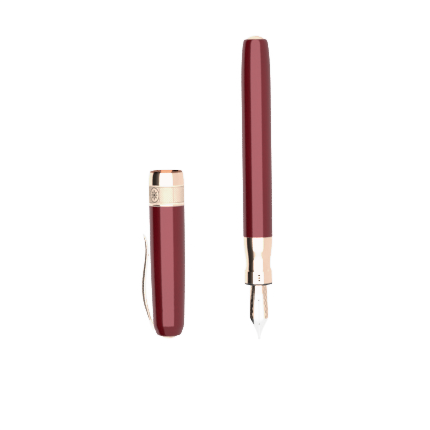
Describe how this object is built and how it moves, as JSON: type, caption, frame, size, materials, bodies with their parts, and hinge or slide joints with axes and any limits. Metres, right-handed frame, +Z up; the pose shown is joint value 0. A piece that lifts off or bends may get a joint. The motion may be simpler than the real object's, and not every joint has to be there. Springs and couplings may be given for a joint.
{
  "type": "fountain pen",
  "caption": "Uncapped fountain pen with waisted metal grip, two-tone nib and converter inside, its sprung-clip cap laid beside it.",
  "frame": {"origin": "on the pen's axis at the barrel's open end, where barrel and grip meet", "axes": "+Y along the pen's axis towards the barrel's closed end, nib towards -Y; +Z up, out of the nib's engraved face; the cap lies parallel at -X"},
  "size_m": [0.0569, 0.1307, 0.0157],
  "materials": {
    "burgundy_resin": "gloss",
    "rose_gold": "polished",
    "nib_metal": "polished",
    "tipping_metal": "satin",
    "yellow_brass": "turned",
    "black_plastic": "satin",
    "clear_plastic": "clear",
    "steel": "ground",
    "chromed_steel": "polished",
    "seal_rubber": "matt",
    "sprung_clip": "polished"
  },
  "bodies": {
    "grip": {"section_sleeve": "rose_gold", "section_liner": "black_plastic", "section_front_ring": "black_plastic", "closure_ring": "steel", "nib": "nib_metal", "nib_tipping": "tipping_metal", "feed": "black_plastic", "nib_housing": "black_plastic"},
    "mouth_seal": {"barrel_seal": "seal_rubber"},
    "end_pad": {"barrel_buffer": "seal_rubber"},
    "barrel": {"barrel_tube": "burgundy_resin", "barrel_bush": "yellow_brass", "barrel_jewel": "rose_gold", "barrel_jewel_nut": "yellow_brass"},
    "converter": {"converter_socket": "black_plastic", "converter_tube": "clear_plastic", "converter_collar": "chromed_steel", "agitator_ball": "steel"},
    "knob": {"converter_knob": "black_plastic"},
    "piston": {"piston_rod": "black_plastic", "piston_seal": "seal_rubber"},
    "cap": {"cap_mouth_ring": "rose_gold", "cap_band": "rose_gold", "cap_trim_ring": "rose_gold", "cap_tube": "burgundy_resin", "inner_cap": "black_plastic", "cap_magnet": "steel", "clip_holder": "yellow_brass", "cap_jewel": "rose_gold", "clip_pin": "steel", "clip_spring": "steel"},
    "clip": {"clip": "sprung_clip"}
  },
  "joints": [
    {"name": "barrel_pull", "type": "slide", "parent": "grip", "child": "mouth_seal", "axis": [0, 1, 0], "range_m": [0, 0.08]},
    {"name": "barrel_lift", "type": "slide", "parent": "mouth_seal", "child": "end_pad", "axis": [0, 1, 0], "range_m": [0, 0.005]},
    {"name": "barrel_turn", "type": "hinge", "parent": "end_pad", "child": "barrel", "pos_m": [0, 0.004, 0], "axis": [0, 1, 0], "range_deg": [0, 1800]},
    {"name": "converter_pull", "type": "slide", "parent": "grip", "child": "converter", "axis": [0, 1, 0], "range_m": [0, 0.008]},
    {"name": "knob_turn", "type": "hinge", "parent": "converter", "child": "knob", "pos_m": [0, 0.055, 0], "axis": [0, 1, 0], "range_deg": [0, 1440]},
    {"name": "piston_slide", "type": "slide", "parent": "converter", "child": "piston", "axis": [0, -1, 0], "range_m": [0, 0.024]},
    {"name": "cap_slide", "type": "slide", "parent": "grip", "child": "cap", "axis": [0, -1, 0], "range_m": [0, 0.0737]},
    {"name": "clip_flex", "type": "hinge", "parent": "cap", "child": "clip", "pos_m": [-0.0421, -0.0373, 0.00128], "axis": [0, 0, 1], "range_deg": [0, 5], "stiffness_Nm_per_rad": 0.06}
  ],
  "couplings": [
    {"joint": "barrel_turn", "follows": "barrel_lift", "rad_per_m": 6283.2},
    {"joint": "knob_turn", "follows": "piston_slide", "rad_per_m": 1047.2}
  ]
}
